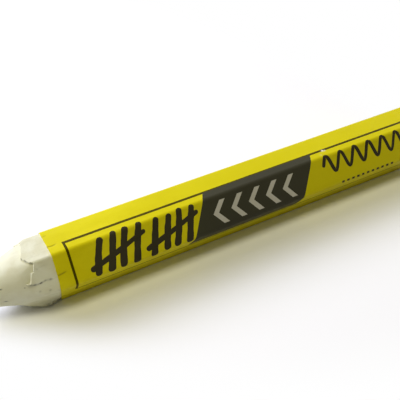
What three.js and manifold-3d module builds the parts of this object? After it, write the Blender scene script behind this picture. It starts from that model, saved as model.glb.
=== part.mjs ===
// A hexagonal solid-paint marking stick in its rolled paper wrapper, in millimetres.
// +X runs from the nose to the butt, +Z is up, and the stick lies on one of its six flats.
// The origin is under the middle of the stick, on the surface that it lies on.
import * as THREE from 'three';
import { mergeVertices } from 'three/addons/utils/BufferGeometryUtils.js';
import Module from 'manifold-3d';

const wasm = await Module();
wasm.setup();

// Overall size
const overallLength = 127;
const acrossFlats = 14.3;

// Layers from the outside in: rolled paper, the paint's dried skin, and the soft paint itself
const paperThickness = 0.2;
const paperClearance = 0.05;
const skinThickness = 0.4;
const skinClearance = 0.05;

// Bend of the paper over each corner of the hexagon, on its outside
const cornerRadius = 1.3;

// The nose is a turned cone with a blunt, round tip; its angle is from the axis to the cone's side
const noseHalfAngle = THREE.MathUtils.degToRad(17.3);
const noseTipRadius = 2.6;

// Paint left bare in front of the paper, and how far the butt stands out behind it
const bareNose = 21.5;
const bareButt = 0.8;
const buttRounding = 0.45;

// The sheet's lap, on one flat: its inner edge lies lapStart from the flat's middle line
const lapStart = -1.2;
const lapWidth = 3;
const lapRamp = 0.9;
const lapRampGap = 0.3;
const glueThickness = 0.06;
const glueClearance = 0.02;
const glueInset = 0.25;

// Facets of the round forms
const cornerSegments = 4;
const buttSegments = 4;
const turnedSegments = 96;
const tipSegments = 10;

// Room that a cutting body has beyond what it cuts
const cutMargin = 2;

// The hexagon's flats face these ways round the axis, counted from +Y towards +Z
const flatAngles = {
  backUpper: 30, top: 90, frontUpper: 150, frontLower: 210, bottom: 270, backLower: 330,
};
const lapAngle = flatAngles.backLower;
const cornerAngles = [0, 60, 120, 180, 240, 300];

// Half the distance across the flats of each layer, worked inwards from the paper
const paperOuter = acrossFlats / 2;
const paperInner = paperOuter - paperThickness;
const skinOuter = paperInner - paperClearance;
const skinInner = skinOuter - skinThickness;
const coreOuter = skinInner - skinClearance;

// Stations along the axis
const tipX = -overallLength / 2;
const buttX = overallLength / 2;
const paperFrontX = tipX + bareNose;
const paperBackX = buttX - bareButt;
const skinFloorX = buttX - skinThickness;
const coreBackX = skinFloorX - skinClearance;

// The cone's apex lies ahead of the round tip, and the cone meets the core's flats at the shoulder
const apexX = tipX - noseTipRadius * (1 / Math.sin(noseHalfAngle) - 1);
const shoulderX = apexX + coreOuter / Math.tan(noseHalfAngle);

// The skin's torn front edge on each flat, from its lower to its higher angle round the axis.
// Each point is [share of the flat's half width from its middle, distance behind the shoulder].
const tornEdge = {
  backUpper: [[-1, 2.9], [-0.7, 2.1], [-0.1, 1.2], [0.4, 0.6], [0.5, 1.9], [1, 3.0]],
  top: [[-1, 3.0], [-0.82, 2.6], [-0.16, 1.5], [0.45, 0.7], [0.63, 0.85], [0.82, 1.9], [1, 2.8]],
  frontUpper: [
    [-1, 2.8], [-0.53, 2.3], [-0.52, 1.7], [0, 1.0], [0.08, 0.1], [0.12, 0.3], [0.22, 1.9],
    [0.23, 3.0], [0.18, 4.2], [0.22, 5.4], [0.55, 6.0], [1, 5.6],
  ],
  frontLower: [[-1, 5.6], [-0.3, 4.9], [0.1, 5.2], [0.45, 3.2], [0.8, 3.6], [1, 3.2]],
  bottom: [[-1, 3.2], [-0.5, 1.9], [0, 1.2], [0.5, 0.9], [0.8, 2.1], [1, 2.7]],
  backLower: [[-1, 2.7], [-0.6, 2.4], [-0.5, 1.6], [0.1, 1.0], [0.5, 1.3], [0.6, 2.2], [1, 2.9]],
};

// Unit vectors of a flat in the YZ plane: its outward normal and the way its angle grows
function flatFrame(angle) {
  const a = THREE.MathUtils.degToRad(angle);
  return {
    normal: new THREE.Vector2(Math.cos(a), Math.sin(a)),
    tangent: new THREE.Vector2(-Math.sin(a), Math.cos(a)),
  };
}

// A point of the YZ plane, out from the axis along a flat's normal and across from its middle
function flatPoint(angle, out, across) {
  const { normal, tangent } = flatFrame(angle);
  return normal.clone().multiplyScalar(out).addScaledVector(tangent, across);
}

function cornerCentre(angle, apothem, radius) {
  const a = THREE.MathUtils.degToRad(angle);
  const reach = (apothem - radius) / Math.cos(Math.PI / 6);
  return new THREE.Vector2(reach * Math.cos(a), reach * Math.sin(a));
}

// One rounded corner, drawn with the angle growing or falling
function addCorner(path, angle, apothem, radius, falling = false) {
  const centre = cornerCentre(angle, apothem, radius);
  const low = THREE.MathUtils.degToRad(angle - 30);
  const high = THREE.MathUtils.degToRad(angle + 30);
  path.absarc(centre.x, centre.y, radius, falling ? high : low, falling ? low : high, falling);
}

function roundedHexagon(apothem) {
  const radius = cornerRadius - (paperOuter - apothem);
  const shape = new THREE.Shape();
  for (const angle of cornerAngles) addCorner(shape, angle, apothem, radius);
  return shape;
}

// Turns an extrusion so that its shape lies in the YZ plane and its depth runs along +X from x
function alongX(geometry, x) {
  const turn = new THREE.Matrix4().makeBasis(
    new THREE.Vector3(0, 1, 0), new THREE.Vector3(0, 0, 1), new THREE.Vector3(1, 0, 0),
  );
  return geometry.applyMatrix4(turn).translate(x, 0, 0);
}

// A rounded hexagonal bar, whose rims are rounded too where a rounding is given
function hexBar(apothem, fromX, toX, rounding = 0) {
  const length = toX - fromX - 2 * rounding;
  const geometry = new THREE.ExtrudeGeometry(roundedHexagon(apothem), {
    depth: length,
    curveSegments: cornerSegments,
    bevelEnabled: rounding > 0,
    bevelThickness: rounding,
    bevelSize: rounding,
    bevelOffset: -rounding,
    bevelSegments: buttSegments,
  });
  return alongX(geometry, fromX + rounding);
}

// A closed triangle mesh as a solid that can be joined and cut, and back again
function toSolid(geometry) {
  const bare = geometry.clone();
  bare.deleteAttribute('normal');
  bare.deleteAttribute('uv');
  const merged = mergeVertices(bare);
  return new wasm.Manifold(new wasm.Mesh({
    numProp: 3,
    vertProperties: new Float32Array(merged.attributes.position.array),
    triVerts: new Uint32Array(merged.index.array),
  }));
}

function toGeometry(solid) {
  const mesh = solid.getMesh();
  const geometry = new THREE.BufferGeometry();
  geometry.setAttribute('position', new THREE.BufferAttribute(new Float32Array(mesh.vertProperties), 3));
  geometry.setIndex(new THREE.BufferAttribute(new Uint32Array(mesh.triVerts), 1));
  return geometry;
}

// The turned nose and, behind it, a cylinder that clears the hexagon's corners
function turnedForm() {
  const clearRadius = coreOuter / Math.cos(Math.PI / 6) + cutMargin;
  const clearX = apexX + clearRadius / Math.tan(noseHalfAngle);
  const endX = coreBackX + cutMargin;
  const profile = [];
  for (let i = 0; i <= tipSegments; i += 1) {
    const swing = (Math.PI / 2 - noseHalfAngle) * (i / tipSegments);
    const radius = noseTipRadius * Math.sin(swing);
    const x = tipX + noseTipRadius * (1 - Math.cos(swing));
    profile.push(new THREE.Vector2(i === 0 ? 0 : radius, x));
  }
  profile.push(new THREE.Vector2(clearRadius, clearX));
  profile.push(new THREE.Vector2(clearRadius, endX));
  profile.push(new THREE.Vector2(0, endX));
  return new THREE.LatheGeometry(profile, turnedSegments).rotateZ(-Math.PI / 2);
}

// The soft paint: the hexagonal bar trimmed by the turned nose, which leaves a scallop on each flat
function paintCore() {
  const bar = hexBar(coreOuter, tipX - cutMargin, coreBackX, buttRounding);
  return toGeometry(toSolid(bar).intersect(toSolid(turnedForm())));
}

// What is torn off the skin on one flat, from ahead of the skin back to its torn edge
function tornPiece(name) {
  const halfWidth = skinOuter * Math.tan(Math.PI / 6);
  const shape = new THREE.Shape();
  shape.moveTo(tipX, halfWidth);
  for (const [share, behind] of tornEdge[name]) {
    shape.lineTo(shoulderX + behind, -share * halfWidth);
  }
  shape.lineTo(tipX, -halfWidth);
  const depth = skinThickness + 2 * skinClearance;
  const geometry = new THREE.ExtrudeGeometry(shape, { depth: depth + cutMargin, bevelEnabled: false });
  const { normal, tangent } = flatFrame(flatAngles[name]);
  const place = new THREE.Matrix4().makeBasis(
    new THREE.Vector3(1, 0, 0),
    new THREE.Vector3(0, -tangent.x, -tangent.y),
    new THREE.Vector3(0, normal.x, normal.y),
  );
  const start = normal.clone().multiplyScalar(skinInner - 2 * skinClearance);
  return geometry.applyMatrix4(place).translate(0, start.x, start.y);
}

// The dried skin: a hexagonal cup over the bar and its butt, torn all round its front edge
function driedSkin() {
  const frontX = shoulderX - cutMargin;
  const blank = toSolid(hexBar(skinOuter, frontX, buttX, buttRounding));
  const bore = toSolid(hexBar(skinInner, frontX - cutMargin, skinFloorX));
  let skin = blank.subtract(bore);
  for (const name of Object.keys(tornEdge)) skin = skin.subtract(toSolid(tornPiece(name)));
  return toGeometry(skin);
}

// The sheet's outline seen along the axis: once round the stick, then up a ramp and over its start
const lapRise = paperThickness + glueThickness + 2 * glueClearance;
const lapEnd = lapStart + lapWidth;

function paperWrapper() {
  const rampTop = lapStart - lapRampGap;
  const rampFoot = rampTop - lapRamp;
  const shape = new THREE.Shape();
  const add = (out, across) => {
    const point = flatPoint(lapAngle, out, across);
    shape.lineTo(point.x, point.y);
  };
  const start = flatPoint(lapAngle, paperOuter, lapStart);
  shape.moveTo(start.x, start.y);
  for (const angle of cornerAngles) addCorner(shape, angle, paperOuter, cornerRadius);
  add(paperOuter, rampFoot);
  add(paperOuter + lapRise, rampTop);
  add(paperOuter + lapRise, lapEnd);
  add(paperInner + lapRise, lapEnd);
  add(paperInner + lapRise, rampTop);
  add(paperInner, rampFoot);
  const innerRadius = cornerRadius - paperThickness;
  for (const angle of [...cornerAngles].reverse()) {
    addCorner(shape, angle, paperInner, innerRadius, true);
  }
  add(paperInner, lapStart);
  const geometry = new THREE.ExtrudeGeometry(shape, {
    depth: paperBackX - paperFrontX,
    curveSegments: cornerSegments,
    bevelEnabled: false,
  });
  return alongX(geometry, paperFrontX);
}

// The dried glue between the two layers of the lap
function seamGlue() {
  const low = paperOuter + glueClearance;
  const corners = [
    [low, lapStart + glueInset],
    [low + glueThickness, lapStart + glueInset],
    [low + glueThickness, lapEnd - glueInset],
    [low, lapEnd - glueInset],
  ];
  const shape = new THREE.Shape(corners.map(([out, across]) => flatPoint(lapAngle, out, across)));
  const geometry = new THREE.ExtrudeGeometry(shape, {
    depth: paperBackX - paperFrontX - 2 * glueInset,
    bevelEnabled: false,
  });
  return alongX(geometry, paperFrontX + glueInset);
}

const materials = {
  softPaint: new THREE.MeshStandardMaterial({ color: 0xeeedd4, roughness: 0.55, metalness: 0 }),
  drySkin: new THREE.MeshStandardMaterial({ color: 0xebeace, roughness: 0.8, metalness: 0 }),
  yellowPaper: new THREE.MeshStandardMaterial({ color: 0xe2d625, roughness: 0.4, metalness: 0 }),
  dryGlue: new THREE.MeshStandardMaterial({ color: 0xdcd3ae, roughness: 0.5, metalness: 0 }),
};

// The axis lies half the distance across the flats above the surface
const stick = new THREE.Group();
stick.position.z = paperOuter;

function addPiece(name, geometry, material) {
  const mesh = new THREE.Mesh(geometry, material);
  mesh.name = name;
  stick.add(mesh);
}

addPiece('paint_core', paintCore(), materials.softPaint);
addPiece('dried_skin', driedSkin(), materials.drySkin);
addPiece('paper_wrapper', paperWrapper(), materials.yellowPaper);
addPiece('seam_glue', seamGlue(), materials.dryGlue);

export default stick;
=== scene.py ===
# The looks of a hexagonal solid-paint marking stick: its paint, the torn skin and the printed paper.
# Lengths are in millimetres until a mesh is made, which is in metres as the frame is.
import math
import random

import bpy
import numpy as np
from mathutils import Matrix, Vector, kdtree
from mathutils.geometry import delaunay_2d_cdt


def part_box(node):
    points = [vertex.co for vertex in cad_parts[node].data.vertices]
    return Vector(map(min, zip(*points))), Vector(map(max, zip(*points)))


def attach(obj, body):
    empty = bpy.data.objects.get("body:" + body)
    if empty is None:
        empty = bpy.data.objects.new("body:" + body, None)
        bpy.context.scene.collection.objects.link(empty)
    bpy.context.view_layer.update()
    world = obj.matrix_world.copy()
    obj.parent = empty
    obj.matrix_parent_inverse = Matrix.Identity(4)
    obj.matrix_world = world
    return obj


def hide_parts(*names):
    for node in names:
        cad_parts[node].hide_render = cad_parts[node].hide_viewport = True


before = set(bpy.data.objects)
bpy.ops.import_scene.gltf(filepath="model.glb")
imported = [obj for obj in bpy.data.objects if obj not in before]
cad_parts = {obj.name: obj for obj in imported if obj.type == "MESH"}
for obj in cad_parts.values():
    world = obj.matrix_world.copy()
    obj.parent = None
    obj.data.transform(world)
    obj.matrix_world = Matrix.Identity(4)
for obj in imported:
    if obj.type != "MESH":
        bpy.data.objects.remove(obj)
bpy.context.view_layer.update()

MM = 0.001

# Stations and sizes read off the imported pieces
paper_low, paper_high = (np.array(corner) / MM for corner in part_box("paper_wrapper"))
skin_low, skin_high = (np.array(corner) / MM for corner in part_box("dried_skin"))
core_low, core_high = (np.array(corner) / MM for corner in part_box("paint_core"))
PAPER_FRONT, PAPER_BACK = paper_low[0], paper_high[0]
TIP, CORE_BACK, BUTT = core_low[0], core_high[0], skin_high[0]
PAPER_APOTHEM = (paper_high[2] - paper_low[2]) / 2
SKIN_APOTHEM = (skin_high[2] - skin_low[2]) / 2
CORE_APOTHEM = (core_high[2] - core_low[2]) / 2
AXIS_HEIGHT = PAPER_APOTHEM
AXIS = np.array([0.0, 0.0, AXIS_HEIGHT])

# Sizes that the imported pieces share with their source
PAPER_THICKNESS, SKIN_THICKNESS = 0.2, 0.4
CORNER_RADIUS = 1.3
NOSE_HALF_ANGLE = math.radians(17.3)
NOSE_TIP_RADIUS = 2.6
BUTT_ROUNDING = 0.45
LAP_START, LAP_WIDTH = -1.2, 3.0
LAP_RAMP, LAP_RAMP_GAP, LAP_RISE = 0.9, 0.3, 0.3

# The photograph's camera: its direction from the stick, its distance and what it looks at
CAMERA_AZIMUTH = math.radians(-28.8967)
CAMERA_ELEVATION = math.radians(40.8427)
CAMERA_DISTANCE = 190.68
CAMERA_TARGET = (2.737, 10.851, 0.0)
CAMERA_LENS, CAMERA_SENSOR = 64.89, 36.0

# The six flats, in the order that a turn from +Y towards +Z meets them
FLATS = ("back_lower", "back_upper", "top", "front_upper", "front_lower", "bottom")
FLAT_STEP = math.radians(60)
# How far each corner is pressed from round towards sharp, in the order of the flats before them
CORNER_CREASE = (0.0, 0.6, 0.0, 0.0, 0.9, 0.6)
TAN_30 = math.tan(math.radians(30))
COS_30 = math.cos(math.radians(30))

TIP_APEX = TIP - NOSE_TIP_RADIUS * (1 / math.sin(NOSE_HALF_ANGLE) - 1)
SHOULDER = TIP_APEX + CORE_APOTHEM / math.tan(NOSE_HALF_ANGLE)


def smooth(low, high, value):
    """0 below low, 1 above high and a smooth rise between them."""
    share = np.clip((np.asarray(value, float) - low) / (high - low), 0, 1)
    return share * share * (3 - 2 * share)


def waves(points, wavelength, seed):
    """A smooth random field over points in space, about -1 to 1, with features of one size."""
    count = 14
    draw = np.random.default_rng(seed)
    direction = draw.normal(size=(count, 3))
    direction /= np.linalg.norm(direction, axis=1, keepdims=True)
    number = 2 * math.pi / (wavelength * draw.uniform(0.7, 1.5, count))
    phase = draw.uniform(0, 2 * math.pi, count)
    total = np.sin(points @ (direction * number[:, None]).T + phase).sum(1)
    return total / math.sqrt(count / 2) * 0.5


def relief(points, layers):
    """Random fields added together, each a strength, wavelength, seed and how much the length counts."""
    return sum(strength * waves(points * [lengthwise, 1, 1], wavelength, seed)
               for strength, wavelength, seed, lengthwise in layers)


def bell(value, width):
    """1 where a value is 0, and fading smoothly away from it."""
    return np.exp(-((value / width) ** 2))


def profile(value, corners):
    """A broken line through its corners, each a place and a height."""
    return np.interp(value, *zip(*corners))


class HexSide:
    """The side of a rounded hexagonal bar, as a map from (x, distance round it) to space."""

    def __init__(self, apothem, radius):
        self.apothem = apothem
        self.radius = radius
        self.half_flat = (apothem - radius) * TAN_30
        self.half_arc = radius * FLAT_STEP / 2
        self.pitch = 2 * (self.half_flat + self.half_arc)
        self.round = 6 * self.pitch

    def middle(self, flat):
        return FLATS.index(flat) * self.pitch

    def corner(self, first, second):
        return (self.middle(first) + self.middle(second)) / 2

    def place(self, x, v, out):
        """Points that stand out from the side by a distance, which may be negative.

        The outward normal's foot is on the line round which the corners are rounded.
        """
        turn = np.round(v / self.pitch)
        across = v - turn * self.pitch
        side = np.sign(across)
        beyond = np.clip(np.abs(across) - self.half_flat, 0, None) / self.radius
        flat_angle = turn * FLAT_STEP - FLAT_STEP / 2
        on_flat = np.clip(across, -self.half_flat, self.half_flat)
        inner = self.apothem - self.radius
        foot_y = inner * np.cos(flat_angle) - on_flat * np.sin(flat_angle)
        foot_z = inner * np.sin(flat_angle) + on_flat * np.cos(flat_angle)
        corner = np.mod(turn - (side < 0), 6).astype(int)
        crease = np.array(CORNER_CREASE)[corner] * self.radius * (1 / np.cos(beyond) - 1)
        angle = flat_angle + side * beyond
        reach = self.radius + out + crease
        y = foot_y + reach * np.cos(angle)
        z = AXIS_HEIGHT + foot_z + reach * np.sin(angle)
        return np.stack([x + 0 * y, y, z], -1)

    def rows(self, low, high, step, arc_steps):
        """Lines along the side: evenly over each flat, and closer round each corner."""
        count = max(2, round(2 * self.half_flat / step))
        flat = np.linspace(-self.half_flat, self.half_flat, count + 1)
        arc = self.half_flat + 2 * self.half_arc * np.arange(1, arc_steps) / arc_steps
        found = {round(turn * self.pitch + v, 5) for turn in range(-1, 9) for v in (*flat, *arc)}
        return [v for v in sorted(found) if low + 0.05 < v < high - 0.05]


paper_side = HexSide(PAPER_APOTHEM, CORNER_RADIUS)
skin_side = HexSide(SKIN_APOTHEM, CORNER_RADIUS - (PAPER_APOTHEM - SKIN_APOTHEM))


# Flat outlines, in the paper's or the skin's own flat plane

def resample(line, step, closed=False):
    """The same line with points no further apart than step."""
    line = [np.array(p, float) for p in line]
    ends = line[1:] + line[:1] if closed else line[1:]
    points = []
    for start, end in zip(line, ends):
        count = max(1, math.ceil(np.linalg.norm(end - start) / step))
        points += [start + (end - start) * i / count for i in range(count)]
    if not closed:
        points.append(line[-1])
    return np.array(points)


def inside(points, outline):
    """Which points lie inside a closed outline."""
    x, y = points[:, 0], points[:, 1]
    found = np.zeros(len(points), bool)
    for (x0, y0), (x1, y1) in zip(outline, np.roll(outline, -1, axis=0)):
        crosses = (y0 > y) != (y1 > y)
        if y0 != y1:
            found ^= crosses & (x < x0 + (y - y0) * (x1 - x0) / (y1 - y0))
    return found


def distance_to(points, line):
    """How far each point lies from an open line."""
    nearest = np.full(len(points), np.inf)
    for start, end in zip(line[:-1], line[1:]):
        along = end - start
        share = np.clip((points - start) @ along / max(along @ along, 1e-12), 0, 1)
        gap = np.linalg.norm(points - start - share[:, None] * along, axis=1)
        nearest = np.minimum(nearest, gap)
    return nearest


def dots(points, spots):
    """Round soft spots, each an (x, v) centre, a size and a strength, added together."""
    total = np.zeros(len(points))
    for x, v, size, strength in spots:
        gap = np.hypot(points[:, 0] - x, points[:, 1] - v)
        total = total + strength * bell(gap, size)
    return total


def stroke(line, width, seed, taper):
    """A pen stroke along a line: round ends, and a width that wavers a little."""
    centre = resample(line, 0.25)
    tangent = np.gradient(centre, axis=0)
    tangent /= np.linalg.norm(tangent, axis=1, keepdims=True)
    normal = np.stack([-tangent[:, 1], tangent[:, 0]], -1)
    draw = random.Random(seed)
    phase = draw.uniform(0, 6)
    share = np.linspace(0, 1, len(centre))
    half = width / 2 * (1 + (taper - 1) * share)
    half = half * (1 + 0.05 * np.sin(share * 9 + phase) + 0.03 * np.sin(share * 23 + 2 * phase))
    turns = np.radians(np.linspace(72, -72, 5))

    def cap(end, way):
        return [centre[end] + way * half[end] * (math.cos(a) * tangent[end] + math.sin(a) * normal[end])
                for a in turns]

    left = centre + normal * half[:, None]
    right = centre - normal * half[:, None]
    return np.concatenate([left, cap(-1, 1), right[::-1], cap(0, -1)])


# Meshes

def search_tree(points):
    """A tree that finds the nearest of some flat points."""
    tree = kdtree.KDTree(len(points))
    for i, (x, v) in enumerate(points):
        tree.insert((x, v, 0), i)
    tree.balance()
    return tree


def triangulate(outlines, loose, clear):
    """A triangle mesh inside the first of some closed outlines, with edges along them all.

    The loose points are its other points, apart from those that lie too near an outline.
    """
    points, edges = [], []
    for outline in outlines:
        first, count = len(points), len(outline)
        points += [tuple(p) for p in outline]
        edges += [(first + i, first + (i + 1) % count) for i in range(count)]
    tree = search_tree(points)
    loose = np.array(loose)
    loose = loose[inside(loose, outlines[0])]
    points += [(x, v) for x, v in loose if tree.find((x, v, 0))[2] > clear]
    vectors = [Vector(p) for p in points]
    made, _, faces, _, _, _ = delaunay_2d_cdt(vectors, edges, [], 0, 1e-5, False)
    flat = np.array([tuple(p) for p in made])
    faces = np.array([f for f in faces if len(f) == 3])
    a, b, c = (flat[faces[:, i]] for i in range(3))
    area = (b[:, 0] - a[:, 0]) * (c[:, 1] - a[:, 1]) - (b[:, 1] - a[:, 1]) * (c[:, 0] - a[:, 0])
    faces[area < 0] = faces[area < 0][:, ::-1]
    faces = faces[np.abs(area) > 1e-9]
    return flat, faces[inside(flat[faces].mean(1), outlines[0])]


def outward(place, x, v, step=0.02):
    """The outward normals of a placed surface, from points close around each point."""
    along = place(x + step, v) - place(x - step, v)
    across = place(x, v + step) - place(x, v - step)
    normal = np.cross(across, along)
    return normal / np.linalg.norm(normal, axis=1, keepdims=True)


def open_edges(faces):
    """The directed edges that only one triangle uses."""
    edges = np.concatenate([faces[:, [0, 1]], faces[:, [1, 2]], faces[:, [2, 0]]])
    known = set(map(tuple, edges.tolist()))
    return [(a, b) for a, b in edges.tolist() if (b, a) not in known]


class Form:
    """A mesh in the making: points in millimetres, faces, their materials and their corner normals."""

    def __init__(self):
        self.points = np.zeros((0, 3))
        self.faces = []
        self.inks = []
        self.normals = []

    def add_points(self, points):
        """Adds points and returns the first one's number."""
        first = len(self.points)
        self.points = np.concatenate([self.points, points])
        return first

    def add_face(self, corners, ink, normals=None):
        self.faces.append(tuple(int(c) for c in corners))
        self.inks.append(int(ink))
        self.normals.append(normals)

    def bridge(self, ring, points, flip=False, normals=None):
        """Joins a ring of points to a new ring further along, and returns the new ring."""
        first = self.add_points(points)
        made = list(range(first, first + len(points)))
        for j in range(len(ring)):
            k = (j + 1) % len(ring)
            corners = (ring[j], ring[k], made[k], made[j])
            if normals is None:
                self.add_face(corners[::-1] if flip else corners, 0)
            else:
                self.add_face(corners, 0, [normals[0][j], normals[0][k], normals[1][k], normals[1][j]])
        return made

    def fan(self, ring, middle, flip=False):
        """Closes a ring of points over its middle."""
        top = self.add_points(middle[None])
        for first, second in zip(ring, ring[1:] + ring[:1]):
            self.add_face((first, top, second) if flip else (second, top, first), 0)

    def face_normal(self, corners):
        """The flat normal of a quad, from its diagonals, or of a triangle, from two sides."""
        first, second, third, last = (self.points[corners[i]] for i in (0, 1, 2, -1))
        normal = np.cross(third - first, last - second)
        size = np.linalg.norm(normal)
        return normal / size if size > 0 else np.array([0.0, 0.0, 1.0])

    def build(self, name, materials, slot, node, **fields):
        """Makes the piece that replaces a node. The fields are shares that its points carry."""
        mesh = bpy.data.meshes.new(name)
        mesh.from_pydata((self.points * MM).tolist(), [], self.faces)
        for material in materials:
            mesh.materials.append(material)
        mesh.polygons.foreach_set("material_index", self.inks)
        for field, values in fields.items():
            layer = mesh.attributes.new(field, "FLOAT", "POINT")
            layer.data.foreach_set("value", np.asarray(values, np.float32))
        mesh.polygons.foreach_set("use_smooth", [True] * len(self.faces))
        corner_normals = []
        for corners, normals in zip(self.faces, self.normals):
            if normals is None:
                normals = [self.face_normal(corners)] * len(corners)
            corner_normals.extend(tuple(n) for n in normals)
        mesh.normals_split_custom_set(corner_normals)
        mesh.update()
        piece = add_object(name, mesh)
        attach(piece, "root")
        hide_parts(node)


def add_object(name, data):
    """A new object in the scene, for a mesh, a lamp or a camera."""
    made = bpy.data.objects.new(name, data)
    bpy.context.scene.collection.objects.link(made)
    return made


# Procedural materials

def srgb(*levels):
    """A colour as it shows on a screen, in the linear values that the shader takes."""
    share = np.array(levels) / 255
    return (*np.where(share <= 0.04045, share / 12.92, ((share + 0.055) / 1.055) ** 2.4).tolist(), 1.0)


def dimmed(colour, share):
    return tuple(share * c for c in colour[:3]) + (1.0,)


# The mix node's sockets for colours, which share their names with its sockets for numbers
MIX_SHARE, MIX_FIRST, MIX_SECOND, MIX_RESULT = 0, 6, 7, 2


class Nodes:
    """The shader nodes of a material or of the world."""

    def __init__(self, owner, empty=True):
        owner.use_nodes = True
        self.tree = owner.node_tree
        if empty:
            self.tree.nodes.clear()

    def add(self, kind, inputs, **settings):
        """A new node. Each of its inputs is given a value, a socket, or a node for its first output."""
        node = self.tree.nodes.new("ShaderNode" + kind)
        for name, value in settings.items():
            setattr(node, name, value)
        for name, value in inputs.items():
            self.give(node.inputs[name], value)
        return node

    def give(self, socket, value):
        if isinstance(value, bpy.types.Node):
            value = value.outputs[0]
        if isinstance(value, bpy.types.NodeSocket):
            self.tree.links.new(value, socket)
        else:
            socket.default_value = value


class Surface(Nodes):
    """A Principled material, with the patterns that vary it over the object."""

    def __init__(self, name, **uniform):
        self.material = bpy.data.materials.new(name)
        super().__init__(self.material, empty=False)
        self.shader = self.tree.nodes["Principled BSDF"]
        for socket, value in uniform.items():
            self.shader.inputs[socket.replace("_", " ")].default_value = value
        self.place = self.add("TexCoord", {}).outputs["Object"]

    def scaled(self, size, stretch=(1, 1, 1)):
        """The place on the object, counted in steps of size millimetres."""
        scale = [1 / (size * MM * s) for s in stretch]
        return self.add("Mapping", {"Vector": self.place, "Scale": scale})

    def noise(self, size, detail=3.0, roughness=0.5, stretch=(1, 1, 1), distortion=0.0):
        """Cloudy noise, whose features are about size millimetres across."""
        shape = {"Scale": 1.0, "Detail": detail, "Roughness": roughness, "Distortion": distortion}
        return self.add("TexNoise", {"Vector": self.scaled(size, stretch), **shape}).outputs["Fac"]

    def specks(self, size):
        """Distance from scattered points, about size millimetres apart."""
        return self.add("TexVoronoi", {"Vector": self.scaled(size), "Scale": 1.0}).outputs["Distance"]

    def field(self, name):
        """A share that the mesh carries at each of its points."""
        return self.add("Attribute", {}, attribute_name=name).outputs["Fac"]

    def ramp(self, value, low, high, to_low=0.0, to_high=1.0):
        ends = {"From Min": low, "From Max": high, "To Min": to_low, "To Max": to_high}
        return self.add("MapRange", {"Value": value, **ends}, interpolation_type="SMOOTHSTEP")

    def mix(self, share, first, second):
        """The first colour where share is 0 and the second where it is 1."""
        inputs = {MIX_SHARE: share, MIX_FIRST: first, MIX_SECOND: second}
        return self.add("Mix", inputs, data_type="RGBA").outputs[MIX_RESULT]

    def finish(self, colour, roughness, layers):
        """Sets the shader. Each layer of its bumps is a height pattern and its depth in millimetres."""
        self.give(self.shader.inputs["Base Color"], colour)
        self.give(self.shader.inputs["Roughness"], roughness)
        below = {}
        for height, depth in layers:
            bump = {"Strength": 1.0, "Distance": depth * MM, "Height": height, **below}
            below = {"Normal": self.add("Bump", bump)}
        self.give(self.shader.inputs["Normal"], below["Normal"])
        return self.material


# The yellow and the inks come in pairs: the colour, and a shade of it that clouds it
PAPER_YELLOW = srgb(230, 218, 28), srgb(220, 207, 18)
INK_BLACK = srgb(66, 62, 46), srgb(58, 54, 38)
INK_THIN = srgb(84, 76, 6), srgb(76, 68, 4)
INK_PANEL = srgb(72, 72, 54), srgb(66, 64, 52)
INK_PALE = srgb(212, 209, 196), srgb(202, 198, 184)
# A darker yellow that paints shade into the paper's wrinkles
PAPER_CREASE_SHADE = srgb(120, 108, 30)
PAPER_WHITE = srgb(246, 244, 226)
PAPER_CUT, PAPER_CUT_DEEP = srgb(226, 216, 100), srgb(206, 192, 66)
# The cut edge's colour where painted shade darkens it in the wrinkles
PAPER_CUT_CREASE_SHADE = srgb(104, 92, 42)
PAINT_CREAM, PAINT_SHADE = srgb(234, 233, 206), srgb(224, 221, 189)
PAINT_STREAK, PAINT_SPECK = srgb(206, 203, 168), srgb(168, 162, 128)
# The paint's darkening: painted shade in the skin's crack and under its torn edge, and darker specks and
# foot patches
PAINT_SHADE_AND_DARK = srgb(88, 80, 56)
GLUE_PALE, GLUE_DEEP = srgb(222, 212, 172), srgb(200, 184, 128)
# The yellow goes a little deeper in flecks; towards the butt it is darkened as painted shade, between two
# stations in metres
PAPER_BUTT_SHADE, FLECK_FADE = 0.86, 0.9
BUTT_SHADE_FROM_TO = (-0.035, 0.01)


def paper_material(name, first, second, grime, gloss):
    """Coated paper under ink: cloudy colour, short fibres in the relief, and an uneven gloss."""
    paper = Surface(name, Specular_IOR_Level=0.2, IOR=1.45, Specular_Tint=first)
    clouds = paper.noise(9.0, detail=4.0, stretch=(2.5, 1, 1))
    flecks = paper.noise(0.5, roughness=0.65)
    colour = paper.mix(paper.ramp(clouds, 0.35, 0.65), first, second)
    along = paper.add("SeparateXYZ", {"Vector": paper.place}).outputs["X"]
    # Painted shade: the yellow darkens towards the butt
    butt_shade = paper.ramp(along, *BUTT_SHADE_FROM_TO, 0.0, 0.7)
    colour = paper.mix(butt_shade, colour, dimmed(second, PAPER_BUTT_SHADE))
    colour = paper.mix(paper.ramp(flecks, 0.56, 0.8, 0.0, 0.5), colour, dimmed(second, FLECK_FADE))
    # Painted shade: the share that the mesh carries darkens the colour in the paper's wrinkles
    colour = paper.mix(paper.field("grime"), colour, grime)
    # Near-white spots on the paper
    colour = paper.mix(paper.field("wear"), colour, PAPER_WHITE)
    roughness = paper.ramp(paper.noise(2.2, detail=4.0), 0.3, 0.7, gloss - 0.06, gloss + 0.08)
    fibres = paper.noise(0.16, detail=2.0, stretch=(4, 1, 1))
    swell = paper.noise(2.6, detail=2.0, stretch=(2, 1, 1))
    return paper.finish(colour, roughness, [(swell, 0.03), (fibres, 0.006)])


def paper_edge_material():
    """The sheet's cut edge and its inside, where ink has bled in from the face."""
    edge = Surface("paper_bare", Specular_IOR_Level=0.1)
    fibres = edge.noise(0.12)
    colour = edge.mix(edge.ramp(fibres, 0.3, 0.7), PAPER_CUT, PAPER_CUT_DEEP)
    # Painted shade in the wrinkles, on the cut edge and inside
    colour = edge.mix(edge.field("grime"), colour, PAPER_CUT_CREASE_SHADE)
    return edge.finish(colour, edge.ramp(fibres, 0.3, 0.7, 0.75, 0.9), [(fibres, 0.02)])


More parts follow.
